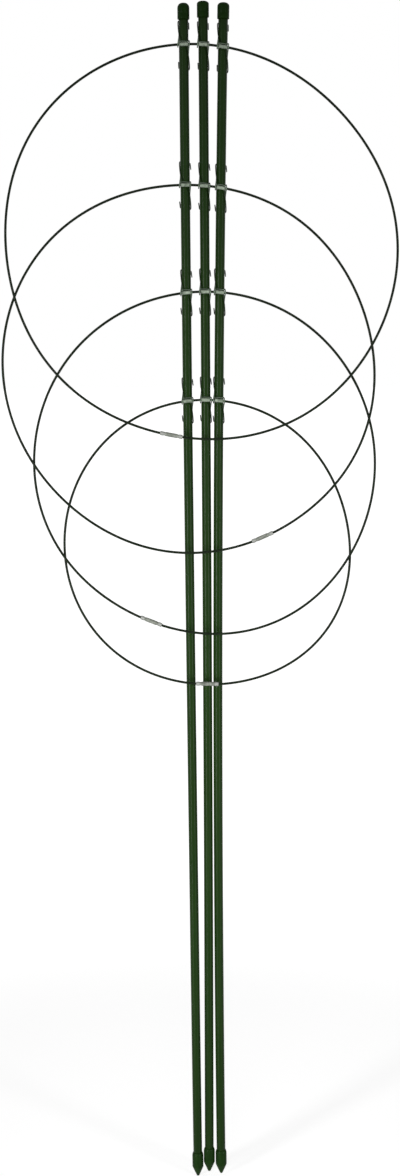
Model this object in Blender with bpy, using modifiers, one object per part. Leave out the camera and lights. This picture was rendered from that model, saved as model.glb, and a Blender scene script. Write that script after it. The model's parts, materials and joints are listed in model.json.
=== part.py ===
# Folding plant support: three coated stakes, four hanging wire rings and the spring clips that join them.
# It is modelled folded flat, as it is stored. Units are metres, +Z is up and +Y points away from the viewer.
# The origin is the point of the middle stake.

import math

import bpy
from mathutils import Matrix, Vector

# Stakes: a steel tube in a plastic coating. They are cut a little unevenly, each this much over the length.
STAKE_LENGTH = 1.4971
CUT_OVER = {"left": 0.0042, "middle": 0.0, "right": 0.0011}
TUBE_DIAMETER = 0.0100
TUBE_WALL = 0.0007
COAT_WALL = 0.0007
COAT_FIT = 0.00015
STAKE_STATIONS = 8

# Caps, a cup over each stake's top end
CAP_LENGTH = 0.0190
CAP_WALL = 0.0011
CAP_ROOF = 0.0030
CAP_FOOT_CHAMFER = 0.0007
CROWN_FLAT = 0.0020
CROWN_HEIGHT = {"left": 0.0060, "middle": 0.0036, "right": 0.0046}
CROWN_STEPS = 5

# Tips, a pointed cup over each stake's lower end
TIP_WALL = 0.0012
TIP_CONE = 0.0138
TIP_COLLAR = 0.0166
TIP_SHOULDER = 0.0030
TIP_LIP = 0.0004
TIP_POINT_RADIUS = 0.0011
TIP_FLOOR = 0.0010
# The cone swells here, as shares of the collar's radius and of the cone's height. The nose is rounded at these
# radii and heights, in point radii.
TIP_SWELL = (0.60, 0.50)
TIP_NOSE = ((1.6, 1.0), (0.9, 0.25))

# Clearance between a cup and the stake, at its side and at its end
CUP_FIT = 0.0003
CUP_END_GAP = 0.0005

# The stakes lean towards each other and bow a little. These are the free gaps beside the middle stake:
# between the tips, between the coatings at half height, and between the caps.
TIP_GAP = {"left": 0.0003, "right": 0.0013}
HALF_WAY_GAP = {"left": 0.0097, "right": 0.0019}
CAP_GAP = {"left": 0.0089, "right": 0.0102}
MIDDLE_BOW = 0.0012
SINK = {"left": 0.0064, "middle": 0.0, "right": 0.0030}

# Rings, from the top: drop below the ring above where the wires cross the middle stake, radius, sideways shift
# of the centre, and the angle of the joint. Angles are in degrees, clockwise from the top as seen from the front.
RING_DROP = (0.0, 0.1648, 0.1264, 0.1316)
RING_SIZE = (0.2371, 0.2262, 0.2114, 0.1790)
RING_SHIFT = (-0.0048, -0.0198, 0.0001, 0.0020)
JOINT_ANGLE = (189.2, 156.4, 199.5, 180.4)
# Hand bending leaves each ring a little oval, with three, four and five lobes: heights, and angles of the crests
OVAL_HEIGHT = (0.0053, 0.0034, 0.0020, 0.0023)
OVAL_CREST = (127.4, 115.0, 136.0, 135.4)
THREE_LOBE_HEIGHT = (0.0011, 0.0009, 0.0016, 0.0017)
THREE_LOBE_CREST = (100.3, 58.6, 32.7, 3.3)
FOUR_LOBE_HEIGHT = (0.0006, 0.0009, 0.0007, 0.0010)
FOUR_LOBE_CREST = (51.4, 25.6, 63.0, 39.2)
FIVE_LOBE_HEIGHT = (0.0009, 0.0007, 0.0004, 0.0002)
FIVE_LOBE_CREST = (13.3, 37.6, 22.6, 48.4)
RING_WIRE = 0.0031
RING_STEP = 7.5
RING_FINE_STEP = 2.0
RING_FINE_REACH = 0.034
RING_END_GAP = 0.0010
HANG_LEAN = 2.0
OPEN_ANGLE = 80.0

# Ferrules, each crimped over the two ends of one ring
FERRULE_LENGTH = 0.0280
FERRULE_WALL = 0.0009
FERRULE_FIT = 0.00015
CRIMP_DEPTH = 0.0004
CRIMP_WIDTH = 0.0030
CRIMP_INSET = 0.0040
FERRULE_CHAMFER = 0.0003

# Sleeves, each a slim tube round the ring wire where it crosses a stake
SLEEVE_LENGTH = 0.0115
SLEEVE_FIT = 0.00022
SLEEVE_WALL = 0.0004
SLEEVE_SIDES = 12

# Clips: a spring wire with a bar behind the sleeve, a hook round the ring wire at each end of it, and a leg from
# each hook along the stake. Each hook turns from the bar's place, in degrees above the level behind the ring wire,
# to the front. The left one goes down, under and up in front, and the right one over the top.
CLIP_WIRE = 0.0013
CLIP_SEAT = 0.0003
BAR_LENGTH = 0.0098
BAR_REACH = 0.0038
BAR_TURN = 60.0
HOOK_REACH = 0.00355
HOOK_OFFSET = 0.0068
HOOK_SHOULDER = 0.00625
HOOK_TURNS = {"left": (20.0, -25.0, -70.0, -115.0, -160.0, -205.0), "right": (100.0, 145.0, 205.0)}
# A leg's points are its share of the height below the wrap, and degrees in front of the stake's side.
# The bend before the spike goes outwards, back and along the stake, in radii of the wire.
CLIP_HEIGHT = 0.0290
TOP_CLIP_GAP = 0.00055
CLIP_WRAP_RISE = 0.0040
CLIP_LEG = ((0.40, 36.0), (0.68, 24.0), (0.90, 4.0))
CLIP_BULGE = 0.0002
CLIP_WRAP_START = 32.0
CLIP_WRAP_STEPS = 4
SPIKE_LENGTH = 0.0098
SPIKE_SPLAY = (0.0003, 0.0009, 0.0009, 0.0009)
SPIKE_SET_BACK = 0.0010
SPIKE_BEND = (0.9, 0.2, 1.0)

SIDES = ("left", "middle", "right")

TUBE_RADIUS = TUBE_DIAMETER / 2
COAT_RADIUS = TUBE_RADIUS + COAT_FIT + COAT_WALL
CAP_RADIUS = COAT_RADIUS + CUP_FIT + CAP_WALL
TIP_RADIUS = COAT_RADIUS + CUP_FIT + TIP_WALL
RING_RADIUS = RING_WIRE / 2
CLIP_RADIUS = CLIP_WIRE / 2
SLEEVE_BORE_CORNER = (RING_RADIUS + SLEEVE_FIT) / math.cos(math.pi / SLEEVE_SIDES)
CLIP_REACH = COAT_RADIUS + CLIP_SEAT + CLIP_RADIUS
CUT_LENGTH = {side: STAKE_LENGTH + CUT_OVER[side] for side in SIDES}


def clear_scene():
    for thing in list(bpy.data.objects):
        bpy.data.objects.remove(thing, do_unlink=True)


def make_material(name, colour, roughness, metallic=0.0):
    material = bpy.data.materials.new(name)
    material.use_nodes = True
    shader = material.node_tree.nodes["Principled BSDF"]
    shader.inputs["Base Color"].default_value = (*colour, 1.0)
    shader.inputs["Roughness"].default_value = roughness
    shader.inputs["Metallic"].default_value = metallic
    return material


def make_collection(name):
    collection = bpy.data.collections.new(name)
    bpy.context.scene.collection.children.link(collection)
    return collection


def add_object(name, data, collection, material, parent=None):
    thing = bpy.data.objects.new(name, data)
    collection.objects.link(thing)
    data.materials.append(material)
    if parent is not None:
        thing.parent = parent
    return thing


def add_wire(name, points, radius, sides, capped, collection, material, parent=None):
    """A round wire or tube surface along the points, with an even number of sides."""
    curve = bpy.data.curves.new(name, "CURVE")
    curve.dimensions = "3D"
    curve.bevel_depth = radius
    curve.bevel_resolution = (sides - 4) // 2
    curve.use_fill_caps = capped
    spline = curve.splines.new("POLY")
    spline.points.add(len(points) - 1)
    for place, point in zip(spline.points, points):
        place.co = (*point, 1.0)
    return add_object(name, curve, collection, material, parent)


def add_turned(name, profile, sides, collection, material, matrix, parent=None):
    """A solid turned round the local Z axis. The profile holds (radius, height) pairs down the outer side."""
    mesh = bpy.data.meshes.new(name)
    count = len(profile)
    touches_axis = profile[0][0] == 0.0 and profile[-1][0] == 0.0
    edges = [(i, i + 1) for i in range(count - 1)]
    if not touches_axis:
        edges.append((count - 1, 0))
    mesh.from_pydata([(r, 0.0, z) for r, z in profile], edges, [])
    thing = add_object(name, mesh, collection, material, parent)
    thing.matrix_local = matrix
    screw = thing.modifiers.new("Turn", "SCREW")
    screw.axis = "Z"
    screw.angle = math.tau
    screw.steps = sides
    screw.render_steps = sides
    screw.use_merge_vertices = True
    screw.merge_threshold = 0.00002
    screw.use_smooth_shade = True
    return thing


def along(direction, origin):
    """A matrix whose Z axis runs along the direction, from the origin."""
    return Matrix.Translation(origin) @ direction.to_track_quat("Z", "Y").to_matrix().to_4x4()


def ring_height(ring):
    """Where the wire crosses the middle stake. The top ring's clips end just under the lowest cap."""
    stake_top = min(CUT_LENGTH[side] - SINK[side] for side in SIDES)
    top = stake_top - CAP_LENGTH - TOP_CLIP_GAP - CLIP_RADIUS - CLIP_HEIGHT
    return top - sum(RING_DROP[: ring + 1])


def stake_ends(side):
    """The sideways place of a stake at its point, at half height and at its top."""
    if side == "middle":
        return 0.0, MIDDLE_BOW, 0.0
    sign = -1.0 if side == "left" else 1.0
    tip = sign * (2 * TIP_RADIUS + TIP_GAP[side])
    half = MIDDLE_BOW + sign * (2 * COAT_RADIUS + HALF_WAY_GAP[side])
    top = sign * (2 * CAP_RADIUS + CAP_GAP[side])
    return tip, half, top


def stake_x(side, z):
    tip, half, top = stake_ends(side)
    t = (z + SINK[side]) / CUT_LENGTH[side]
    bow = half - (tip + top) / 2
    return tip * (1 - t) + top * t + bow * 4 * t * (1 - t)


def stake_slope(side, z):
    step = CUT_LENGTH[side] / 1000
    return (stake_x(side, z + step) - stake_x(side, z - step)) / (2 * step)


def stake_points(side, low, high):
    """Points along the stake's axis, between two heights above its own point."""
    points = []
    for i in range(STAKE_STATIONS):
        z = low + (high - low) * i / (STAKE_STATIONS - 1) - SINK[side]
        points.append(Vector((stake_x(side, z), 0.0, z)))
    return points


def stake_frame(side, height):
    """A matrix at a height above the stake's point, with Z along the stake."""
    z = height - SINK[side]
    place = Matrix.Translation((stake_x(side, z), 0.0, z))
    return place @ Matrix.Rotation(math.atan(stake_slope(side, z)), 4, "Y")


def add_hollow(name, side, low, high, radius, wall, sides, collection, material):
    """A tube that follows the stake's bow, open at both ends."""
    tube = add_wire(name, stake_points(side, low, high), radius, sides, False, collection, material)
    shell = tube.modifiers.new("Wall", "SOLIDIFY")
    shell.thickness = wall
    shell.offset = -1.0
    shell.use_even_offset = True
    return tube


def build_cap(side, collection, material):
    crown = CROWN_HEIGHT[side]
    profile = [(0.0, 0.0)]
    for i in range(CROWN_STEPS + 1):
        turn = math.pi / 2 * i / CROWN_STEPS
        reach = CROWN_FLAT + (CAP_RADIUS - CROWN_FLAT) * math.sin(turn)
        profile.append((reach, -crown * (1 - math.cos(turn))))
    bore = COAT_RADIUS + CUP_FIT
    profile += [
        (CAP_RADIUS, -CAP_LENGTH + CAP_FOOT_CHAMFER),
        (CAP_RADIUS - CAP_FOOT_CHAMFER, -CAP_LENGTH),
        (bore, -CAP_LENGTH),
        (bore, -CAP_ROOF),
        (0.0, -CAP_ROOF),
    ]
    add_turned(f"{side}_stake_cap", profile, 16, collection, material, stake_frame(side, CUT_LENGTH[side]))


def tip_length():
    return TIP_CONE + TIP_COLLAR + TIP_SHOULDER


def build_tip(side, collection, material):
    bore = COAT_RADIUS + CUP_FIT
    top = tip_length()
    floor = TIP_CONE + TIP_FLOOR
    profile = [
        (0.0, floor),
        (bore, floor),
        (bore, top),
        (bore + TIP_LIP, top),
        (TIP_RADIUS, top - TIP_SHOULDER),
        (TIP_RADIUS, TIP_CONE),
        (TIP_RADIUS * TIP_SWELL[0], TIP_CONE * TIP_SWELL[1]),
        *((TIP_POINT_RADIUS * reach, TIP_POINT_RADIUS * height) for reach, height in TIP_NOSE),
        (0.0, 0.0),
    ]
    add_turned(f"{side}_stake_tip", profile, 16, collection, material, stake_frame(side, 0.0))


def build_stake(side, collection, materials):
    low = TIP_CONE + TIP_FLOOR + CUP_END_GAP
    high = CUT_LENGTH[side] - CAP_ROOF - CUP_END_GAP
    add_hollow(f"{side}_stake_tube", side, low, high, TUBE_RADIUS, TUBE_WALL, 10, collection, materials["steel"])
    add_hollow(f"{side}_stake_coating", side, low, high, COAT_RADIUS, COAT_WALL, 16, collection, materials["coat"])
    build_cap(side, collection, materials["cap"])
    build_tip(side, collection, materials["cap"])


def ring_reach(ring, angle):
    """The ring's radius at an angle, with its waves."""
    oval = OVAL_HEIGHT[ring] * math.cos(2 * (angle - math.radians(OVAL_CREST[ring])))
    three = THREE_LOBE_HEIGHT[ring] * math.cos(3 * (angle - math.radians(THREE_LOBE_CREST[ring])))
    four = FOUR_LOBE_HEIGHT[ring] * math.cos(4 * (angle - math.radians(FOUR_LOBE_CREST[ring])))
    five = FIVE_LOBE_HEIGHT[ring] * math.cos(5 * (angle - math.radians(FIVE_LOBE_CREST[ring])))
    return RING_SIZE[ring] + oval + three + four + five


def ring_flat(ring, angle):
    """A point of the wire in the ring's upright plane, measured from the ring's centre."""
    reach = ring_reach(ring, angle)
    return Vector((reach * math.sin(angle), 0.0, reach * math.cos(angle)))


def ring_angle_at(ring, x):
    """The angle near the top at which the wire is at this sideways place."""
    offset = x - RING_SHIFT[ring]
    angle = 0.0
    for _ in range(20):
        angle = math.asin(offset / ring_reach(ring, angle))
    return angle


def ring_centre(ring):
    """The centre, placed so that the wire crosses the middle stake at the ring's height."""
    angle = ring_angle_at(ring, stake_x("middle", ring_height(ring)))
    rise = ring_reach(ring, angle) * math.cos(angle)
    return Vector((RING_SHIFT[ring], 0.0, ring_height(ring) - rise))


def crossing(ring, side):
    """Where the wire crosses a stake, in the ring's upright plane."""
    x = stake_x(side, ring_height(ring))
    return ring_centre(ring) + ring_flat(ring, ring_angle_at(ring, x))


def hinge_line(ring):
    """The line that the ring turns about, in its upright plane, as a matrix with X along it.

    It is parallel to the chord between the outer crossings and lies half way between that chord and the middle
    crossing, so the wire moves as little as it can in each clip.
    """
    left, middle, right = (crossing(ring, side) for side in SIDES)
    chord = right - left
    on_chord = left + chord * ((middle.x - left.x) / chord.x)
    place = (middle + on_chord) / 2
    return Matrix.Translation(place) @ Matrix.Rotation(-math.atan2(chord.z, chord.x), 4, "Y")


def hinge_frame(ring):
    """The ring's hinge where it really is: in front of the stakes, with the ring leaning forward."""
    frame = hinge_line(ring) @ Matrix.Rotation(-math.radians(HANG_LEAN), 4, "X")
    bar = max((frame @ hook_point(ring, "middle", sign * BAR_LENGTH / 2, BAR_REACH, BAR_TURN)).y for sign in (-1, 1))
    frame.translation.y = -CLIP_REACH - bar
    return frame


def to_hinge(ring, point):
    """A point of the upright plane, in the hinge's own axes."""
    return hinge_line(ring).inverted() @ point


def opened(degrees):
    """The ring's swing about its hinge, lower edge forward and up."""
    return Matrix.Rotation(-math.radians(degrees), 4, "X")


def wire_point(ring, side, offset):
    """The wire's place in the hinge's own axes, at an offset along it from where it crosses the stake."""
    angle = ring_angle_at(ring, stake_x(side, ring_height(ring))) + offset / RING_SIZE[ring]
    return to_hinge(ring, ring_centre(ring) + ring_flat(ring, angle))


def hook_point(ring, side, offset, reach, turn):
    """A point round the wire, at a turn above the level behind it, in the hinge's own axes.

    It is measured from the middle of the wire's own travel there, so that the swinging wire clears the hook.
    """
    here = wire_point(ring, side, offset)
    middle = (here + opened(OPEN_ANGLE) @ here) / 2
    turn = math.radians(turn)
    return middle + Vector((0.0, reach * math.cos(turn), reach * math.sin(turn)))


def ring_angles(ring):
    """Angles along the wire from one side of the joint round to the other, closer together at the clips."""
    joint = math.radians(JOINT_ANGLE[ring])
    half = (FERRULE_LENGTH / 2 + RING_WIRE) / RING_SIZE[ring]
    angle = joint + half
    angles = [angle]
    last = joint + math.tau - half
    while angle < last:
        turns = (angle, angle + math.radians(RING_STEP))
        here, ahead = (RING_SHIFT[ring] + RING_SIZE[ring] * math.sin(turn) for turn in turns)
        near_clips = math.cos(angle) > 0 and here < RING_FINE_REACH and ahead > -RING_FINE_REACH
        angle += math.radians(RING_FINE_STEP if near_clips else RING_STEP)
        angles.append(angle)
    angles[-1] = last
    if angles[-1] - angles[-2] < math.radians(RING_FINE_STEP):
        del angles[-2]
    return angles


def build_sleeve(ring, side, collection, material, hinge):
    """The sleeve's axis lies half way between the wire's arc and its chord."""
    end = SLEEVE_LENGTH / 2
    left, here, right = (wire_point(ring, side, offset) for offset in (-end, 0.0, end))
    place = along(right - left, (here + (left + right) / 2) / 2)
    outer = SLEEVE_BORE_CORNER + SLEEVE_WALL
    profile = [(SLEEVE_BORE_CORNER, end), (outer, end), (outer, -end), (SLEEVE_BORE_CORNER, -end)]
    name = f"ring_{ring + 1}_{side}_clip_sleeve"
    add_turned(name, profile, SLEEVE_SIDES, collection, material, place, hinge)


def build_ring(ring, collection, materials):
    name = f"ring_{ring + 1}"
    hinge = bpy.data.objects.new(f"{name}_hinge", None)
    collection.objects.link(hinge)
    hinge.matrix_world = hinge_frame(ring)
    centre = ring_centre(ring)
    points = [to_hinge(ring, centre + ring_flat(ring, angle)) for angle in ring_angles(ring)]
    joint = (points[0] + points[-1]) / 2
    run = (points[0] - points[-1]).normalized()
    points.insert(0, joint + run * (RING_END_GAP / 2))
    points.append(joint - run * (RING_END_GAP / 2))
    add_wire(f"{name}_wire", points, RING_RADIUS, 8, True, collection, materials["wire"], hinge)
    for side in SIDES:
        build_sleeve(ring, side, collection, materials["zinc"], hinge)

    bore = RING_RADIUS + FERRULE_FIT
    outer = bore + FERRULE_WALL
    end = FERRULE_LENGTH / 2
    profile = [(bore, end), (outer - FERRULE_CHAMFER, end), (outer, end - FERRULE_CHAMFER)]
    for inset in (CRIMP_INSET, FERRULE_LENGTH - CRIMP_INSET - CRIMP_WIDTH):
        top = end - inset
        ease = CRIMP_WIDTH / 4
        profile += [(outer, top), (outer - CRIMP_DEPTH, top - ease)]
        profile += [(outer - CRIMP_DEPTH, top - CRIMP_WIDTH + ease), (outer, top - CRIMP_WIDTH)]
    profile += [(outer, -end + FERRULE_CHAMFER), (outer - FERRULE_CHAMFER, -end), (bore, -end)]
    add_turned(f"{name}_ferrule", profile, 12, collection, materials["zinc"], along(run, joint), hinge)


def beside_stake(side, height, points):
    """Moves points measured from the stake's axis at a height to their real places, along the leaning stake."""
    places = []
    for point in points:
        z = height + point.z
        places.append(Vector((stake_x(side, z) + point.x, point.y, z)))
    return places


def clip_leg(side_sign, splay):
    """One leg from the hook: along the stake, round its back and out as a spike.

    The leg on the left goes up and the one on the right goes down. Points are measured from the stake's axis, at
    the height of the ring's hinge.
    """
    up = -side_sign
    wrap_low = CLIP_HEIGHT - CLIP_WRAP_RISE
    points = []
    for rise, turn in CLIP_LEG:
        reach = CLIP_REACH + CLIP_BULGE * rise
        x = side_sign * reach * math.cos(math.radians(turn))
        points.append(Vector((x, -reach * math.sin(math.radians(turn)), up * wrap_low * rise)))
    step = math.radians(180.0 - 2 * CLIP_WRAP_START) / CLIP_WRAP_STEPS
    corner = CLIP_REACH / math.cos(step / 2)
    for i in range(CLIP_WRAP_STEPS + 1):
        turn = math.radians(CLIP_WRAP_START) + step * i
        rise = wrap_low + CLIP_WRAP_RISE * i / CLIP_WRAP_STEPS
        points.append(Vector((side_sign * corner * math.cos(turn), corner * math.sin(turn), up * rise)))
    out, back, along_stake = (CLIP_RADIUS * share for share in SPIKE_BEND)
    points.append(points[-1] + Vector((-side_sign * out, back, -up * along_stake)))
    points.append(points[-1] + Vector((-side_sign * splay, SPIKE_SET_BACK, -up * SPIKE_LENGTH)))
    return points


def build_clip(ring, side, collection, material):
    frame = hinge_frame(ring)
    points = []
    for side_sign, end in ((-1.0, "left"), (1.0, "right")):
        hook = [hook_point(ring, side, side_sign * BAR_LENGTH / 2, BAR_REACH, BAR_TURN)]
        for i, turn in enumerate(HOOK_TURNS[end]):
            offset = HOOK_SHOULDER if i == 0 else HOOK_OFFSET
            reach = BAR_REACH if i == 0 else HOOK_REACH
            hook.append(hook_point(ring, side, side_sign * offset, reach, turn))
        half = [frame @ point for point in hook]
        height = half[0].z - BAR_REACH * math.sin(math.radians(BAR_TURN))
        half += beside_stake(side, height, clip_leg(side_sign, SPIKE_SPLAY[ring]))
        points = [*reversed(half)] if not points else points + half
    add_wire(f"ring_{ring + 1}_{side}_clip_wire", points, CLIP_RADIUS, 6, True, collection, material)


def main():
    clear_scene()
    collection = make_collection("plant_support")
    materials = {
        "steel": make_material("tube_steel", (0.55, 0.55, 0.56), 0.35, 1.0),
        "coat": make_material("stake_coating", (0.020, 0.045, 0.014), 0.42),
        "cap": make_material("cap_plastic", (0.012, 0.030, 0.009), 0.50),
        "wire": make_material("wire_coating", (0.010, 0.020, 0.008), 0.45),
        "zinc": make_material("crimp_zinc", (0.34, 0.36, 0.33), 0.45, 0.9),
        "spring": make_material("clip_steel", (0.060, 0.070, 0.052), 0.40, 0.9),
    }
    for side in SIDES:
        build_stake(side, collection, materials)
    for ring in range(len(RING_SIZE)):
        build_ring(ring, collection, materials)
        for side in SIDES:
            build_clip(ring, side, collection, materials["spring"])


main()
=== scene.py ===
# Folding plant support, dressed for the photograph. Everything is in metres, in the frame's own axes
import json
import math

import bmesh
import bpy
from mathutils import Matrix, Vector
from mathutils.geometry import interpolate_bezier


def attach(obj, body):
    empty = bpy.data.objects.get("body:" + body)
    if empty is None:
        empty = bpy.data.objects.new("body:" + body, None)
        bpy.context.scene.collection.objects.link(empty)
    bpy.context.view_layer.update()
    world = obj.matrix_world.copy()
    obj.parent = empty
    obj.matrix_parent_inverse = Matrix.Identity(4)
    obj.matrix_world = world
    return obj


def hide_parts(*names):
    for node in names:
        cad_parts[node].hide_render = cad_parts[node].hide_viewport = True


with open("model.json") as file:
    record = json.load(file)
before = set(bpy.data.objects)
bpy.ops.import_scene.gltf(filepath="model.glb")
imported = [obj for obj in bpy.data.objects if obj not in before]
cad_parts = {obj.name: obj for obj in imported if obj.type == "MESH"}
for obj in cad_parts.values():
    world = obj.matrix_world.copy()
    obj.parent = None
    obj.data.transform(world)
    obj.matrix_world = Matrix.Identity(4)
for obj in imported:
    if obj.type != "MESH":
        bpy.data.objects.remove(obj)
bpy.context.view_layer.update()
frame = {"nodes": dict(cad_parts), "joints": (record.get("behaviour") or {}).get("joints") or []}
print("frame loaded,", len(frame["nodes"]), "nodes")

sides = ("left", "middle", "right")
mergeReach = 0.000002  # a mesh's points that lie closer than this become one

# Stakes: each leans and bows a little. Its sideways place is given at its point, halfway up and at its top
stakes = {
    "length": {"left": 1.5013, "middle": 1.4971, "right": 1.4982},
    "radius": 0.00585,
    "wall": 0.0007,
    "foot": 0.0153,  # the coating starts inside the tip
    "head": 0.0035,  # and ends this far below the cap's crown
    "rounds": 36,
    "stations": 48,
    "tip": {"left": -0.0150, "middle": 0.0, "right": 0.0160},
    "half": {"left": -0.0202, "middle": 0.0012, "right": 0.0148},
    "top": {"left": -0.0234, "middle": 0.0, "right": 0.0247},
    "sink": {"left": 0.0064, "middle": 0.0, "right": 0.0030},  # of its point, below the middle stake's
    "slopeStep": 0.001,  # the lean is taken this far above and below a height
}


def stakeX(side, z):
    tip, half, top = stakes["tip"][side], stakes["half"][side], stakes["top"][side]
    t = (z + stakes["sink"][side]) / stakes["length"][side]
    return tip * (1 - t) + top * t + (half - (tip + top) / 2) * 4 * t * (1 - t)


def stakeMatrix(side, height):
    z, step = height - stakes["sink"][side], stakes["slopeStep"]
    slope = (stakeX(side, z + step) - stakeX(side, z - step)) / (2 * step)
    return Matrix.Translation((stakeX(side, z), 0, z)) @ Matrix.Rotation(math.atan(slope), 4, "Y")


def addNode(tree, kind, x, y, **sockets):
    node = tree.nodes.new(kind)
    node.location = (x, y)
    for name, value in sockets.items():
        node.inputs[name].default_value = value
    return node


def startMaterial(name, metallic=0.0, specular=0.5):
    material = bpy.data.materials.new(name)
    material.use_nodes = True
    tree = material.node_tree
    shader = tree.nodes["Principled BSDF"]
    shader.inputs["Metallic"].default_value = metallic
    shader.inputs["Specular IOR Level"].default_value = specular
    return material, tree, shader


# Places on the piece. A factor below 1 draws the pattern out along its axis
def addMapping(tree, x, y, factors=(1, 1, 1)):
    place = addNode(tree, "ShaderNodeTexCoord", x, y)
    mapping = addNode(tree, "ShaderNodeMapping", x + 180, y, Scale=factors)
    tree.links.new(place.outputs["Object"], mapping.inputs["Vector"])
    return mapping.outputs["Vector"]


def addNoise(tree, x, y, pattern):
    scale, detail, factors = pattern
    noise = addNode(tree, "ShaderNodeTexNoise", x, y, Scale=scale, Detail=detail)
    tree.links.new(addMapping(tree, x - 400, y, factors), noise.inputs["Vector"])
    return noise.outputs["Fac"]


# A ramp over a noise, with the look's named colours at its tone levels
def addTones(tree, noise, x, y, look, *names):
    ramp = addNode(tree, "ShaderNodeValToRGB", x, y)
    tree.links.new(noise, ramp.inputs["Fac"])
    elements = ramp.color_ramp.elements
    while len(elements) < len(names):
        elements.new(0.5)
    for element, level, name in zip(elements, look["tones"], names):
        element.position = level
        element.color = (*look[name], 1)
    return ramp.outputs["Color"]


# Turns start to stop into low to high
def addRange(tree, source, x, y, low, high, start=0, stop=1):
    ranged = addNode(tree, "ShaderNodeMapRange", x, y)
    for name, value in (("From Min", start), ("From Max", stop), ("To Min", low), ("To Max", high)):
        ranged.inputs[name].default_value = value
    tree.links.new(source, ranged.inputs["Value"])
    return ranged.outputs["Result"]


def addMask(tree, source, x, y, mask):
    start, stop, strength = mask
    return addRange(tree, source, x, y, 0, strength, start, stop)


# The sockets of a colour mix are its factor, 0, and its two colours, 6 and 7
def addMix(tree, factor, first, second, x, y, blend="MIX"):
    mix = addNode(tree, "ShaderNodeMix", x, y)
    mix.data_type = "RGBA"
    mix.blend_type = blend
    for i, value in ((0, factor), (6, first), (7, second)):
        if isinstance(value, bpy.types.NodeSocket):
            tree.links.new(value, mix.inputs[i])
        else:
            mix.inputs[i].default_value = (*value, 1) if isinstance(value, tuple) else value
    return mix.outputs[2]


def addBump(tree, shader, height, x, y, strength, distance, before=None):
    bump = addNode(tree, "ShaderNodeBump", x, y, Strength=strength, Distance=distance)
    tree.links.new(height, bump.inputs["Height"])
    if before is not None:
        tree.links.new(before.outputs["Normal"], bump.inputs["Normal"])
    tree.links.new(bump.outputs["Normal"], shader.inputs["Normal"])
    return bump


# The colour, and a roughness that follows a noise
def setSurface(tree, shader, colour, noise, x, y, roughness):
    tree.links.new(colour, shader.inputs["Base Color"])
    tree.links.new(addRange(tree, noise, x, y, *roughness), shader.inputs["Roughness"])


# In all the looks that follow, a noise is its scale, its detail and a factor along each axis, tones are the
# levels of the noise where its colours lie, a mask is the level where it starts, the level where it is full
# and its strength, and a bump is its strength and depth

# Green plastic skin of the stakes: drawn lines along it, cloudy patches and a fine pebble
stakeSkinLook = {
    "dark": (0.0058, 0.0218, 0.0020),
    "green": (0.0092, 0.0288, 0.0034),
    "pale": (0.0138, 0.0358, 0.0060),
    "dust": (0.0300, 0.0500, 0.0220),
    "lines": (620, 4, (1, 1, 0.012)),
    "clouds": (38, 3, (1, 1, 0.35)),
    "pebble": (1500, 2, (1, 1, 1)),
    "tones": (0.30, 0.52, 0.75),
    "patches": (0.42, 0.70, 0.55),
    "specks": (0.66, 0.78, 0.35),
    "roughness": (0.24, 0.36),
    "specular": 0.08,
    "streak": 0.75,
    "lineBump": (0.35, 0.0002),
    "pebbleBump": (0.10, 0.00006),
}


def makeStakeSkin():
    look = stakeSkinLook
    material, tree, shader = startMaterial("stakeSkin", specular=look["specular"])
    lines = addNoise(tree, -900, 300, look["lines"])
    clouds = addNoise(tree, -900, 0, look["clouds"])
    pebble = addNoise(tree, -900, -300, look["pebble"])
    base = addTones(tree, lines, -650, 300, look, "dark", "green", "pale")
    patches = addMask(tree, clouds, -650, 50, look["patches"])
    specks = addMask(tree, pebble, -650, -250, look["specks"])
    colour = addMix(tree, patches, base, look["green"], -350, 250)
    colour = addMix(tree, specks, colour, look["dust"], -150, 200)
    setSurface(tree, shader, colour, clouds, -350, -50, look["roughness"])
    # Faint ripples across the skin draw each highlight out along the stake
    shader.inputs["Anisotropic"].default_value = look["streak"]
    upward = addNode(tree, "ShaderNodeCombineXYZ", -350, -600, Z=1)
    tree.links.new(upward.outputs[0], shader.inputs["Tangent"])
    first = addBump(tree, shader, lines, -350, -250, *look["lineBump"])
    addBump(tree, shader, pebble, -150, -350, *look["pebbleBump"], before=first)
    return material


# Moulded plastic with flow marks: almost black green on the caps, and as green as the stakes on the tips
mouldedLook = {
    "flow": (260, 4, (1, 1, 0.4)),
    "grain": (2600, 2, (1, 1, 1)),
    "tones": (0.35, 0.65),
    "scuffs": (0.60, 0.75, 0.5),
    "roughness": (0.33, 0.48),
    "grainBump": (0.3, 0.00008),
}
capLook = {
    **mouldedLook,
    "dark": (0.0042, 0.0186, 0.0012),
    "green": (0.0068, 0.0265, 0.0023),
    "scuff": (0.0160, 0.0330, 0.0095),
    "specular": 0.05,
}
tipLook = {
    **mouldedLook,
    "dark": (0.0066, 0.0252, 0.0030),
    "green": (0.0100, 0.0338, 0.0046),
    "scuff": (0.0190, 0.0390, 0.0120),
    "specular": 0.06,
}


def makeMouldedPlastic(name, look):
    material, tree, shader = startMaterial(name, specular=look["specular"])
    flow = addNoise(tree, -700, 200, look["flow"])
    grain = addNoise(tree, -700, -100, look["grain"])
    base = addTones(tree, flow, -450, 200, look, "dark", "green")
    scuffs = addMask(tree, grain, -450, -50, look["scuffs"])
    colour = addMix(tree, scuffs, base, look["scuff"], -180, 150)
    setSurface(tree, shader, colour, flow, -450, -250, look["roughness"])
    addBump(tree, shader, grain, -200, -350, *look["grainBump"])
    return material


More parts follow.
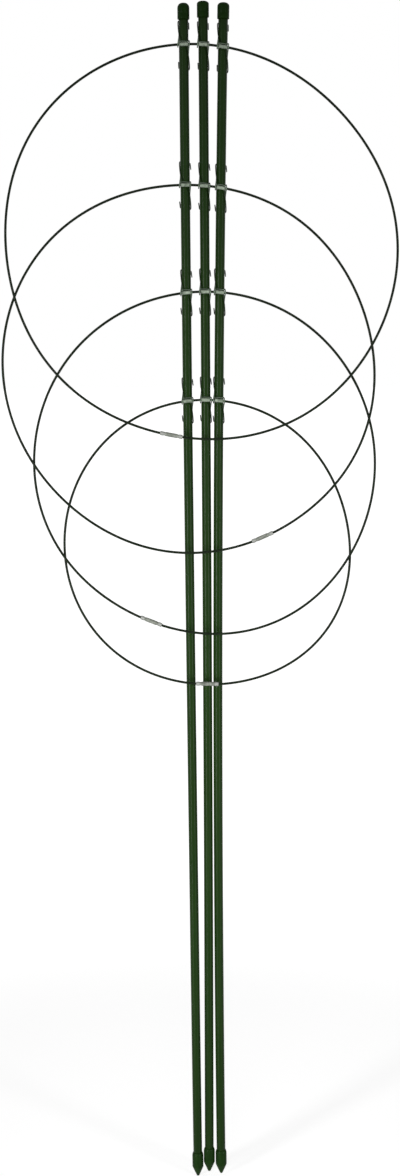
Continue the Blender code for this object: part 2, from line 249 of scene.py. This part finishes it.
# Dipped skin of the ring wires: almost black green, uneven where the dip ran
ringSkinLook = {
    "dark": (0.0035, 0.0070, 0.0028),
    "green": (0.0065, 0.0120, 0.0050),
    "pale": (0.0125, 0.0195, 0.0095),
    "runs": (90, 4, (1, 1, 1)),
    "grain": (1400, 3, (1, 1, 1)),
    "tones": (0.32, 0.50, 0.72),
    "roughness": (0.28, 0.46),
    "specular": 0.08,
    "runBump": (0.3, 0.0004),
    "grainBump": (0.2, 0.0001),
}


def makeRingSkin():
    look = ringSkinLook
    material, tree, shader = startMaterial("ringSkin", specular=look["specular"])
    runs = addNoise(tree, -700, 200, look["runs"])
    grain = addNoise(tree, -700, -100, look["grain"])
    base = addTones(tree, runs, -450, 200, look, "dark", "green", "pale")
    setSurface(tree, shader, base, runs, -450, -50, look["roughness"])
    first = addBump(tree, shader, runs, -450, -300, *look["runBump"])
    addBump(tree, shader, grain, -200, -300, *look["grainBump"], before=first)
    return material


# Zinc plate with a faint spangle and darker rubbed places: dull grey on the ferrules, olive on the sleeves.
# On a ferrule, a painted highlight brightens both ends, where the crimp dents catch the light
zincLook = {
    "spangle": 520,
    "facets": (0.3, 0.7),  # darkest and brightest grey of the spangle
    "facetShare": 0.35,
    "tarnish": (230, 5, (1, 1, 1)),
    "scratches": (1700, 4, (0.15, 1, 1)),
    "tones": (0.30, 0.50, 0.72),
    "roughness": (0.34, 0.55),
    "metallic": 0.3,
    "specular": 0.3,
    "scratchBump": (0.25, 0.00008),
}
ferruleLook = {
    **zincLook,
    "dark": (0.108, 0.118, 0.100),
    "grey": (0.184, 0.197, 0.170),
    "bright": (0.264, 0.280, 0.247),
    "endHighlight": (0.290, 0.300, 0.280),
    "endHighlightReach": (0.0084, 0.0104, 1),  # painted highlight at the ends; its levels are distances from the ferrule's middle
}
sleeveLook = {
    **zincLook,
    "dark": (0.150, 0.188, 0.140),
    "grey": (0.270, 0.325, 0.252),
    "bright": (0.380, 0.440, 0.355),
}


def makeZinc(name, look, middle=None):
    material, tree, shader = startMaterial(name, look["metallic"], look["specular"])
    spangle = addNode(tree, "ShaderNodeTexVoronoi", -900, 300, Scale=look["spangle"])
    tree.links.new(addMapping(tree, -1300, 300), spangle.inputs["Vector"])
    tarnish = addNoise(tree, -900, 0, look["tarnish"])
    scratches = addNoise(tree, -900, -300, look["scratches"])
    base = addTones(tree, tarnish, -600, 0, look, "dark", "grey", "bright")
    facets = addRange(tree, spangle.outputs["Color"], -600, 300, *look["facets"])
    colour = addMix(tree, look["facetShare"], base, facets, -300, 250, "OVERLAY")
    # Painted highlight: a lighter grey towards both ends of a ferrule
    if middle is not None:
        place = addNode(tree, "ShaderNodeTexCoord", -1100, 550)
        apart = addNode(tree, "ShaderNodeVectorMath", -900, 550)
        apart.operation = "DISTANCE"
        apart.inputs[1].default_value = middle
        tree.links.new(place.outputs["Object"], apart.inputs[0])
        ends = addMask(tree, apart.outputs["Value"], -600, 550, look["endHighlightReach"])
        colour = addMix(tree, ends, colour, look["endHighlight"], -100, 350)
    setSurface(tree, shader, colour, tarnish, -600, -250, look["roughness"])
    addBump(tree, shader, scratches, -300, -350, *look["scratchBump"])
    return material


# Dark phosphated spring wire of the clips: drawn lines and spots from the bending tool. In front it carries a
# painted highlight, a lighter grey where the bar and hooks face up towards the light
springLook = {
    "dark": (0.009, 0.016, 0.007),
    "grey": (0.018, 0.028, 0.014),
    "bright": (0.036, 0.050, 0.030),
    # colour of the painted highlight on the wire's front
    "paintedFrontHighlight": (0.105, 0.140, 0.100),
    "frontHighlightReach": (-0.0072, -0.0058),  # along Y: the painted highlight is full up to the first, and none from the second
    "spots": (330, 4, (1, 1, 1)),
    "lines": (2600, 3, (1, 1, 0.1)),
    "tones": (0.28, 0.45, 0.75),
    "roughness": (0.28, 0.50),
    "metallic": 0.9,
    "lineBump": (0.25, 0.00006),
}


def makeSpringWire():
    look = springLook
    material, tree, shader = startMaterial("springWire", look["metallic"])
    spots = addNoise(tree, -700, 200, look["spots"])
    lines = addNoise(tree, -700, -100, look["lines"])
    base = addTones(tree, spots, -450, 200, look, "dark", "grey", "bright")
    place = addNode(tree, "ShaderNodeTexCoord", -900, 450)
    axes = addNode(tree, "ShaderNodeSeparateXYZ", -700, 450)
    tree.links.new(place.outputs["Object"], axes.inputs[0])
    # Painted highlight: the front of the wire, towards -Y, is mixed towards a lighter grey
    frontHighlightMask = addRange(tree, axes.outputs["Y"], -450, 450, 1, 0, *look["frontHighlightReach"])
    colour = addMix(tree, frontHighlightMask, base, look["paintedFrontHighlight"], -150, 300)
    setSurface(tree, shader, colour, spots, -450, -50, look["roughness"])
    addBump(tree, shader, lines, -250, -300, *look["lineBump"])
    return material


# Raw drawn steel of the tubes inside the skins
tubeLook = {
    "dark": (0.32, 0.32, 0.33),
    "bright": (0.58, 0.58, 0.60),
    "lines": (900, 4, (1, 1, 0.02)),
    "tones": (0.3, 0.7),
    "roughness": (0.28, 0.46),
    "metallic": 1.0,
}


def makeTubeSteel():
    look = tubeLook
    material, tree, shader = startMaterial("tubeSteel", look["metallic"])
    lines = addNoise(tree, -500, 0, look["lines"])
    base = addTones(tree, lines, -250, 100, look, "dark", "bright")
    setSurface(tree, shader, base, lines, -250, -150, look["roughness"])
    return material


stakeSkin = makeStakeSkin()
capPlastic = makeMouldedPlastic("capPlastic", capLook)
tipPlastic = makeMouldedPlastic("tipPlastic", tipLook)
ringSkin = makeRingSkin()
sleeveZinc = makeZinc("sleeveZinc", sleeveLook)
springWire = makeSpringWire()
tubeSteel = makeTubeSteel()
print("materials ready")


def addObject(name, data):
    thing = bpy.data.objects.new(name, data)
    bpy.context.scene.collection.objects.link(thing)
    return thing


def addMeshObject(name, bm):
    mesh = bpy.data.meshes.new(name)
    bm.to_mesh(mesh)
    bm.free()
    return addObject(name, mesh)


def finishPiece(thing, material, body, node):
    thing.data.materials.append(material)
    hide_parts(node)
    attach(thing, body)
    return thing


def meshPiece(name, bm, material, body, node):
    bmesh.ops.remove_doubles(bm, verts=bm.verts, dist=mergeReach)
    bmesh.ops.recalc_face_normals(bm, faces=bm.faces)
    for face in bm.faces:
        face.smooth = True
    return finishPiece(addMeshObject(name, bm), material, body, node)


# A wire through the points, with a share of its radius at each
def wirePiece(name, points, swell, radius, rounds, material, body, node):
    curve = bpy.data.curves.new(name, "CURVE")
    curve.dimensions = "3D"
    curve.bevel_depth = radius
    curve.bevel_resolution = (rounds - 4) // 2
    curve.use_fill_caps = True
    spline = curve.splines.new("POLY")
    spline.points.add(len(points) - 1)
    for spot, point, share in zip(spline.points, points, swell):
        spot.co = (*point, 1)
        spot.radius = share
    spline.use_smooth = True
    return finishPiece(addObject(name, curve), material, body, node)


# Runs a smooth line through the points, with tangents that suit uneven spacing
def smoothPath(points, steps):
    last = len(points) - 1
    tangents = [(points[min(i + 1, last)] - points[max(i - 1, 0)]).normalized() for i in range(last + 1)]
    path = []
    for i in range(last):
        reach = (points[i + 1] - points[i]).length / 3
        first, second = points[i] + tangents[i] * reach, points[i + 1] - tangents[i + 1] * reach
        path += interpolate_bezier(points[i], first, second, points[i + 1], steps + 1)[:-1]
    return path + [points[-1]]


# Turns a profile of radii and heights about Z and stands it in its place
def turnProfile(profile, rounds, place):
    bm = bmesh.new()
    verts = [bm.verts.new((r, 0, z)) for r, z in profile]
    edges = [bm.edges.new(pair) for pair in zip(verts, verts[1:])]
    bmesh.ops.spin(
        bm, geom=verts + edges, cent=(0, 0, 0), axis=(0, 0, 1), angle=math.tau, steps=rounds, use_merge=True
    )
    bmesh.ops.transform(bm, matrix=place, verts=bm.verts)
    return bm


# Draws a circle through the places into a tube
def drawTube(radius, rounds, places):
    bm = bmesh.new()
    bmesh.ops.create_circle(bm, segments=rounds, radius=radius, matrix=places[0])
    loop = list(bm.edges)
    for here, there in zip(places, places[1:]):
        made = bmesh.ops.extrude_edge_only(bm, edges=loop)["geom"]
        loop = [part for part in made if isinstance(part, bmesh.types.BMEdge)]
        verts = [part for part in made if isinstance(part, bmesh.types.BMVert)]
        bmesh.ops.transform(bm, matrix=there @ here.inverted(), verts=verts)
    return bm


# A straight tube along Z about the origin, drawn in a little at its rims
def straightTube(form):
    end, stations = form["length"] / 2, form["stations"]
    places = [Matrix.Translation((0, 0, -end + 2 * end * i / stations)) for i in range(stations + 1)]
    bm = drawTube(form["radius"], form["rounds"], places)
    for vert in bm.verts:
        near = max(0, 1 - (end - abs(vert.co.z)) / form["rim"])
        vert.co.xy *= 1 - form["rimDraw"] * near * near
    return bm


# Turns Z along the run, and moves the origin to the middle
def alongMatrix(middle, run):
    return Matrix.Translation(middle) @ run.to_track_quat("Z", "Y").to_matrix().to_4x4()


# A wall inwards from the outer skin
def addWall(thing, thickness):
    wall = thing.modifiers.new("wall", "SOLIDIFY")
    wall.thickness = thickness
    wall.offset = -1


# Coatings: a round skin drawn up the stake's bow
def buildCoating(side):
    low, high = stakes["foot"], stakes["length"][side] - stakes["head"]
    spacing = (high - low) / stakes["stations"]
    places = [stakeMatrix(side, low + spacing * i) for i in range(stakes["stations"] + 1)]
    bm = drawTube(stakes["radius"], stakes["rounds"], places)
    skin = meshPiece(side + "StakeSkin", bm, stakeSkin, "stakes", side + "_stake_coating")
    addWall(skin, stakes["wall"])


# Caps: a cup with a domed crown, a soft foot and a fine moulded line round it
caps = {
    "length": 0.019,
    "radius": 0.00725,
    "bore": 0.00615,
    "roof": 0.003,
    "flat": 0.002,  # radius of the crown's flat middle
    "crown": {"left": 0.0060, "middle": 0.0036, "right": 0.0046},
    "crownSteps": 14,
    "lineDrop": 0.01216,  # from the crown's top to the moulded line
    "lineHalf": 0.00038,  # half the line's width
    "lineDepth": 0.00012,
    "foot": 0.0007,  # radius of its rounding
    "footTurns": (0, 23.4, 45, 66.6, 90),
    "rounds": 64,
}


def buildCap(side):
    crown, radius, flat = caps["crown"][side], caps["radius"], caps["flat"]
    profile = [(0, 0), (flat / 2, 0)]
    for i in range(caps["crownSteps"] + 1):
        turn = math.pi / 2 * i / caps["crownSteps"]
        profile.append((flat + (radius - flat) * math.sin(turn), -crown * (1 - math.cos(turn))))
    drop, half = caps["lineDrop"], caps["lineHalf"]
    profile += [(radius, half - drop), (radius - caps["lineDepth"], -drop), (radius, -half - drop)]
    length, foot = caps["length"], caps["foot"]
    for turn in caps["footTurns"]:
        turn = math.radians(turn)
        profile.append((radius - foot * (1 - math.cos(turn)), -length + foot * (1 - math.sin(turn))))
    profile += [(caps["bore"], -length), (caps["bore"], -caps["roof"]), (0, -caps["roof"])]
    bm = turnProfile(profile, caps["rounds"], stakeMatrix(side, stakes["length"][side]))
    meshPiece(side + "StakeCap", bm, capPlastic, "stakes", side + "_stake_cap")


# Tips: a collar round the stake's foot over a swelling cone. An edge's bevel goes this far in, up and down
tips = {
    "radius": 0.00735,
    "bore": 0.00615,
    "cone": 0.0138,
    "collar": 0.0166,
    "shoulder": 0.0030,
    "lip": 0.0004,
    "floor": 0.0010,
    "lipEdge": (0.00012, 0, 0.0003),
    "shoulderEdge": (0.0002, 0.0007, 0.0004),
    "collarEdge": (0.0001, 0.0006, 0.0002),
    "nose": ((0.00099, 0.00028), (0.00148, 0.00070), (0.00176, 0.0011)),  # radius and height
    "swell": ((0.0031, 0.0040), (0.00441, 0.0069), (0.00582, 0.0102), (0.00670, 0.0123)),
    "rounds": 64,
}


def buildTip(side):
    radius, bore, cone = tips["radius"], tips["bore"], tips["cone"]
    shoulder = cone + tips["collar"]
    top = shoulder + tips["shoulder"]
    lip = bore + tips["lip"]
    profile = [(0, cone + tips["floor"]), (bore, cone + tips["floor"]), (bore, top)]
    inward, up, down = tips["lipEdge"]
    profile += [(lip - inward, top + up), (lip, top - down)]
    inward, up, down = tips["shoulderEdge"]
    profile += [(radius - inward, shoulder + up), (radius, shoulder - down)]
    inward, up, down = tips["collarEdge"]
    profile += [(radius, cone + up), (radius - inward, cone - down)]
    profile += [*reversed(tips["swell"]), *reversed(tips["nose"]), (0, 0)]
    bm = turnProfile(profile, tips["rounds"], stakeMatrix(side, 0))
    meshPiece(side + "StakeTip", bm, tipPlastic, "stakes", side + "_stake_tip")


for side in sides:
    buildCoating(side)
    buildCap(side)
    buildTip(side)
    frame["nodes"][side + "_stake_tube"].data.materials[0] = tubeSteel
print("stakes dressed")

# Rings, from the top. Angles are in degrees, clockwise from the top as seen from the front
rings = {
    "wire": 0.00155,
    "height": (1.4457, 1.2809, 1.1545, 1.0229),  # of the wire at the middle stake
    "radius": (0.2371, 0.2262, 0.2114, 0.1790),
    "shift": (-0.0048, -0.0198, 0.0001, 0.0020),  # of the centre, to the right
    "ends": (189.2, 156.4, 199.5, 180.4),  # where the wire's two ends meet
    # How far each ring departs from a true circle, and in which direction, in 2, 3, 4 and 5 lobes
    "lobes": {
        2: ((0.0053, 127.4), (0.0034, 115.0), (0.0020, 136.0), (0.0023, 135.4)),
        3: ((0.0011, 100.3), (0.0009, 58.6), (0.0016, 32.7), (0.0017, 3.3)),
        4: ((0.0006, 51.4), (0.0009, 25.6), (0.0007, 63.0), (0.0010, 39.2)),
        5: ((0.0009, 13.3), (0.0007, 37.6), (0.0004, 22.6), (0.0002, 48.4)),
    },
    "lean": 2.0,  # forward, as they hang
    "open": 80.0,  # how far they swing up
    "step": 1.5,  # between the wire's points
    "uneven": 0.012,  # share of the radius by which the dipped skin swells and shrinks
    "unevenWaves": (23, 7),
    "rounds": 16,
    "endGap": 0.0010,
    "angleTries": 20,  # until the angle at a sideways place has settled
}


def ringReach(ring, angle):
    reach = rings["radius"][ring]
    for count, lobes in rings["lobes"].items():
        height, crest = lobes[ring]
        reach += height * math.cos(count * (angle - math.radians(crest)))
    return reach


def ringAngleAt(ring, x):
    angle = 0
    for _ in range(rings["angleTries"]):
        angle = math.asin((x - rings["shift"][ring]) / ringReach(ring, angle))
    return angle


def ringCentre(ring):
    height = rings["height"][ring]
    angle = ringAngleAt(ring, stakeX("middle", height))
    return Vector((rings["shift"][ring], 0, height - ringReach(ring, angle) * math.cos(angle)))


def ringTurn(ring):
    axis = frame["joints"][ring]["axis"]
    return Matrix.Rotation(-math.atan2(-axis[2], -axis[0]), 4, "Y")


# The ring's turning line, in the upright plane of the stakes
def uprightHinge(ring):
    x, y, z = frame["joints"][ring]["pos_m"]
    return Matrix.Translation((x, 0, z)) @ ringTurn(ring)


# The same line where it really is, with the ring leaning forward
def leaningHinge(ring):
    lean = Matrix.Rotation(-math.radians(rings["lean"]), 4, "X")
    return Matrix.Translation(frame["joints"][ring]["pos_m"]) @ ringTurn(ring) @ lean


# A point of the ring wire, as seen from its turning line
def hingePoint(ring, angle):
    reach = ringReach(ring, angle)
    flat = Vector((reach * math.sin(angle), 0, reach * math.cos(angle)))
    return uprightHinge(ring).inverted() @ (ringCentre(ring) + flat)


def ringBody(ring):
    return f"ring_{ring + 1}"


# Ferrules: a tube squeezed over the two ends of a ring in two places
ferrules = {
    "length": 0.028,
    "bore": 0.0017,
    "radius": 0.0026,
    "rounds": 32,
    "stations": 56,
    "rim": 0.0004,
    "rimDraw": 0.06,  # share of the radius by which the rim is drawn in
    "crimp": 0.0084,  # from the ferrule's middle to each crimp's
    "crimpReach": 0.0019,
    "crimpDepth": 0.0005,
    "spread": 0.0002,
}


def buildFerrule(ring, middle, run):
    bm = straightTube(ferrules)
    radius = ferrules["radius"]
    for vert in bm.verts:
        near = abs(abs(vert.co.z) - ferrules["crimp"]) / ferrules["crimpReach"]
        if near < 1:
            press = (1 - near * near) ** 2
            facing = abs(vert.co.y) / radius
            vert.co.y *= 1 - ferrules["crimpDepth"] / radius * press * facing
            vert.co.x *= 1 + ferrules["spread"] / radius * press * (1 - facing)
    bmesh.ops.transform(bm, matrix=alongMatrix(middle, run), verts=bm.verts)
    name, body = f"ring{ring + 1}Ferrule", ringBody(ring)
    zinc = makeZinc(name + "Zinc", ferruleLook, middle)
    ferrule = meshPiece(name, bm, zinc, body, body + "_ferrule")
    addWall(ferrule, radius - ferrules["bore"])


def buildRing(ring):
    world = leaningHinge(ring)
    start = math.radians(rings["ends"][ring])
    # The wire bends up to a wire's thickness from the ferrule, and runs straight in it
    half = (ferrules["length"] / 2 + 2 * rings["wire"]) / rings["radius"][ring]
    bent = math.tau - 2 * half
    count = round(bent / math.radians(rings["step"]))
    many, few = rings["unevenWaves"]
    points, swell = [], []
    for i in range(count + 1):
        angle = start + half + bent * i / count
        points.append(world @ hingePoint(ring, angle))
        swell.append(1 + rings["uneven"] * math.sin(many * angle + ring) * math.sin(few * angle))
    middle = (points[0] + points[-1]) / 2
    run = (points[0] - points[-1]).normalized()
    gap = run * rings["endGap"] / 2
    points, swell = [middle + gap, *points, middle - gap], [1, *swell, 1]
    name, body = f"ring{ring + 1}Wire", ringBody(ring)
    node = body + "_wire"
    wirePiece(name, points, swell, rings["wire"], rings["rounds"], ringSkin, body, node)
    buildFerrule(ring, middle, run)


# Sleeves: a slim tube round the ring wire at each stake
sleeves = {
    "length": 0.0115,
    "bore": 0.00183,
    "radius": 0.00222,
    "rounds": 32,
    "stations": 14,
    "rim": 0.0009,
    "rimDraw": 0.05,
}


# The ring wire at an offset from the stake, as seen from its turning line
def wireAt(ring, side, offset):
    angle = ringAngleAt(ring, stakeX(side, rings["height"][ring])) + offset / rings["radius"][ring]
    return hingePoint(ring, angle)


def buildSleeve(ring, side):
    end = sleeves["length"] / 2
    left, here, right = (wireAt(ring, side, offset) for offset in (-end, 0, end))
    middle = (here + (left + right) / 2) / 2  # halfway between the wire's bow and its chord
    bm = straightTube(sleeves)
    bmesh.ops.transform(bm, matrix=leaningHinge(ring) @ alongMatrix(middle, right - left), verts=bm.verts)
    name, body = f"ring{ring + 1}{side.title()}Sleeve", ringBody(ring)
    sleeve = meshPiece(name, bm, sleeveZinc, body, f"{body}_{side}_clip_sleeve")
    addWall(sleeve, sleeves["radius"] - sleeves["bore"])


# Clips: a spring wire with a bar behind the sleeve, a hook round the ring wire at each end of the bar and two
# legs. Each leg is wrapped round the stake's back and ends in a spike. Offsets run along the ring wire from
# the stake. The turns of the bar and the hooks are in degrees, from straight behind the ring wire upwards
clips = {
    "wire": 0.0007,
    "bar": 0.0049,  # offset of its ends
    "barReach": 0.0038,
    "barTurn": 60,
    "shoulderOffset": 0.00625,
    "shoulder": {"left": 20, "right": 100},
    "hookOffset": 0.0068,
    "hookReach": 0.00355,
    "hookEnd": {"left": -205, "right": 205},
    "hookStep": 15,
    "hookSkip": 3,  # the hook's first steps are left to the shoulder
    "reach": 0.0066,  # from the stake's axis to the wire
    "height": 0.0284,  # from the ring wire to the wrap's start
    # Share of the height, and degrees from the stake's side to its front
    "leg": ((0.40, 34), (0.54, 26), (0.68, 18), (0.79, 10), (0.90, 1), (0.965, -14)),
    "bulge": 0.00006,  # of the legs, away from the stake
    "wrapStart": 32,  # degrees from the stake's side to its back
    "wrapFall": 0.002,  # back towards the ring wire, round the stake
    "wrapSteps": 10,
    "bend": (0.00058, 0.00013, 0.00065),  # into the spike: outwards, backwards and along the stake
    "spike": 0.0072,
    "spikeEnd": 0.6,  # share of the wire's radius
    "splay": (0.0003, 0.0009, 0.0009, 0.0009),  # of each ring's spikes, outwards
    "setBack": 0.0010,  # of the spikes, backwards
    "pathSteps": 3,
    "rounds": 12,
}


# A point about the ring wire, taken halfway between its places at rest and swung open
def hookPoint(ring, side, offset, reach, turn):
    here = wireAt(ring, side, offset)
    opened = Matrix.Rotation(-math.radians(rings["open"]), 4, "X")
    turn = math.radians(turn)
    return (here + opened @ here) / 2 + Vector((0, reach * math.cos(turn), reach * math.sin(turn)))


def clipHook(ring, side, end, sign):
    start, stop = clips["shoulder"][end], clips["hookEnd"][end]
    points = [
        hookPoint(ring, side, sign * clips["bar"], clips["barReach"], clips["barTurn"]),
        hookPoint(ring, side, sign * clips["shoulderOffset"], clips["barReach"], start),
    ]
    count = round(abs(stop - start) / clips["hookStep"])
    for i in range(clips["hookSkip"], count + 1):
        turn = start + (stop - start) * i / count
        points.append(hookPoint(ring, side, sign * clips["hookOffset"], clips["hookReach"], turn))
    world = leaningHinge(ring)
    return [world @ point for point in points]


def clipLeg(sign, splay):
    up, reach, height = -sign, clips["reach"], clips["height"]
    points = []
    for rise, turn in clips["leg"]:
        out, turn = reach + clips["bulge"] * rise, math.radians(turn)
        points.append(Vector((sign * out * math.cos(turn), -out * math.sin(turn), up * height * rise)))
    for i in range(clips["wrapSteps"] + 1):
        share = i / clips["wrapSteps"]
        turn = math.radians(clips["wrapStart"] + (180 - 2 * clips["wrapStart"]) * share)
        rise = height - clips["wrapFall"] * share
        points.append(Vector((sign * reach * math.cos(turn), reach * math.sin(turn), up * rise)))
    out, back, along = clips["bend"]
    points.append(points[-1] + Vector((-sign * out, back, -up * along)))
    tip = Vector((-sign * splay, clips["setBack"], -up * clips["spike"]))
    return points + [points[-1] + tip / 2, points[-1] + tip]


# One half of a clip, from the bar's end to the spike's: the left leg goes up and the right leg down
def clipHalf(ring, side, end, sign):
    points = clipHook(ring, side, end, sign)
    level = points[0].z - clips["barReach"] * math.sin(math.radians(clips["barTurn"]))
    for point in clipLeg(sign, clips["splay"][ring]):
        z = level + point.z
        points.append(Vector((stakeX(side, z) + point.x, point.y, z)))
    return points


def buildClip(ring, side):
    left, right = clipHalf(ring, side, "left", -1), clipHalf(ring, side, "right", 1)
    points = smoothPath([*reversed(left), *right], clips["pathSteps"])
    swell = [clips["spikeEnd"], *[1] * (len(points) - 2), clips["spikeEnd"]]
    name, node = f"ring{ring + 1}{side.title()}Clip", f"{ringBody(ring)}_{side}_clip_wire"
    wirePiece(name, points, swell, clips["wire"], clips["rounds"], springWire, "stakes", node)


for ring in range(len(rings["radius"])):
    buildRing(ring)
    for side in sides:
        buildSleeve(ring, side)
        buildClip(ring, side)
print("rings and clips dressed")


# 1 for rays from the camera, from glossy surfaces and through clear ones
def addRaySwitch(tree, x, y):
    rays = addNode(tree, "ShaderNodeLightPath", x - 400, y)
    seen = rays.outputs["Is Camera Ray"]
    for i, name in enumerate(("Is Glossy Ray", "Is Transmission Ray")):
        either = addNode(tree, "ShaderNodeMath", x - 200 + 200 * i, y)
        either.operation = "MAXIMUM"
        tree.links.new(seen, either.inputs[0])
        tree.links.new(rays.outputs[name], either.inputs[1])
        seen = either.outputs[0]
    return seen


# Pale floor under the tips. It is a little brighter to the camera, so that it meets the white background
floorLook = {
    "height": -0.0065,
    "size": 30,
    "colour": (0.80, 0.80, 0.80, 1),
    "roughness": 0.9,
    "specular": 0.1,
    "near": 0.55,  # from here to far, the glow grows from lift to white
    "far": 1.5,
    "lift": 0.75,
    "white": 1.0,
}


def buildFloor():
    bm = bmesh.new()
    bmesh.ops.create_grid(bm, x_segments=1, y_segments=1, size=floorLook["size"])
    bmesh.ops.translate(bm, verts=bm.verts, vec=(0, 0, floorLook["height"]))
    floor = addMeshObject("floor", bm)
    material, tree, shader = startMaterial("floorPaint", specular=floorLook["specular"])
    shader.inputs["Base Color"].default_value = floorLook["colour"]
    shader.inputs["Roughness"].default_value = floorLook["roughness"]
    place = addNode(tree, "ShaderNodeTexCoord", -1000, -400)
    reach = addNode(tree, "ShaderNodeVectorMath", -800, -400)
    reach.operation = "LENGTH"
    tree.links.new(place.outputs["Object"], reach.inputs[0])
    lift, white, near, far = (floorLook[name] for name in ("lift", "white", "near", "far"))
    fade = addRange(tree, reach.outputs["Value"], -600, -400, lift, white, near, far)
    fade.node.interpolation_type = "SMOOTHSTEP"
    strength = addNode(tree, "ShaderNodeMath", -200, -300)
    strength.operation = "MULTIPLY"
    tree.links.new(addRaySwitch(tree, -400, -200), strength.inputs[0])
    tree.links.new(fade, strength.inputs[1])
    glow = addNode(tree, "ShaderNodeEmission", 0, -200)
    tree.links.new(strength.outputs[0], glow.inputs["Strength"])
    both = addNode(tree, "ShaderNodeAddShader", 300, 0)
    tree.links.new(shader.outputs[0], both.inputs[0])
    tree.links.new(glow.outputs[0], both.inputs[1])
    tree.links.new(both.outputs[0], tree.nodes["Material Output"].inputs["Surface"])
    floor.data.materials.append(material)


# Soft studio: a tall box light on each side in front, a wide fill between them and a dim white room
studio = {
    "room": 0.165,
    # Place, width and height, watts, and spread in degrees
    "lights": {
        "leftBox": ((-1.35, -1.60, 0.55), (0.30, 1.3), 4.3, 54),
        "rightBox": ((1.48, -1.50, 0.55), (0.30, 1.3), 2.25, 54),
        "frontFill": ((-0.2, -2.6, 0.6), (1.2, 1.0), 2.6, 49),
    },
    "unseen": "frontFill",  # left out of reflections, so that the stakes show one streak on each side
    "aim": (0, 0, 0.54),
}


def buildStudio():
    world = bpy.data.worlds.new("studio")
    bpy.context.scene.world = world
    world.use_nodes = True
    tree = world.node_tree
    background = tree.nodes["Background"]
    background.inputs["Color"].default_value = (1, 1, 1, 1)
    room = addRange(tree, addRaySwitch(tree, -600, 0), -300, 0, studio["room"], 1.0)
    tree.links.new(room, background.inputs["Strength"])
    for name, (place, size, power, spread) in studio["lights"].items():
        lamp = bpy.data.lights.new(name, "AREA")
        lamp.shape = "RECTANGLE"
        lamp.size, lamp.size_y = size
        lamp.energy = power
        lamp.spread = math.radians(spread)
        thing = addObject(name, lamp)
        thing.location = place
        thing.rotation_euler = (Vector(studio["aim"]) - Vector(place)).to_track_quat("-Z", "Y").to_euler()
        thing.visible_glossy = name != studio["unseen"]


# The photograph's own viewpoint, fitted to the stakes: distance, height angle, roll and rise of the frame
view = {
    "target": (-0.00793, 0, 0.7471),
    "distance": 2.250,
    "elevation": 9.4,
    "roll": -0.355,
    "lens": 54.39,
    "sensor": 36,
    "rise": 0.02628,
    "nearest": 0.05,
    "farthest": 100,
}


def buildCamera():
    camera = bpy.data.cameras.new("camera")
    camera.lens = view["lens"]
    camera.sensor_width = view["sensor"]
    camera.shift_y = view["rise"]
    camera.clip_start, camera.clip_end = view["nearest"], view["farthest"]
    thing = addObject("camera", camera)
    rise = math.radians(view["elevation"])
    back = Vector((0, -math.cos(rise), math.sin(rise)))
    turn = (-back).to_track_quat("-Z", "Y").to_matrix().to_4x4()
    place = Matrix.Translation(Vector(view["target"]) + back * view["distance"])
    thing.matrix_world = place @ turn @ Matrix.Rotation(math.radians(view["roll"]), 4, "Z")
    bpy.context.scene.camera = thing


buildFloor()
buildStudio()
buildCamera()
bpy.context.scene.view_settings.view_transform = "Standard"
print("floor, lights and camera ready")
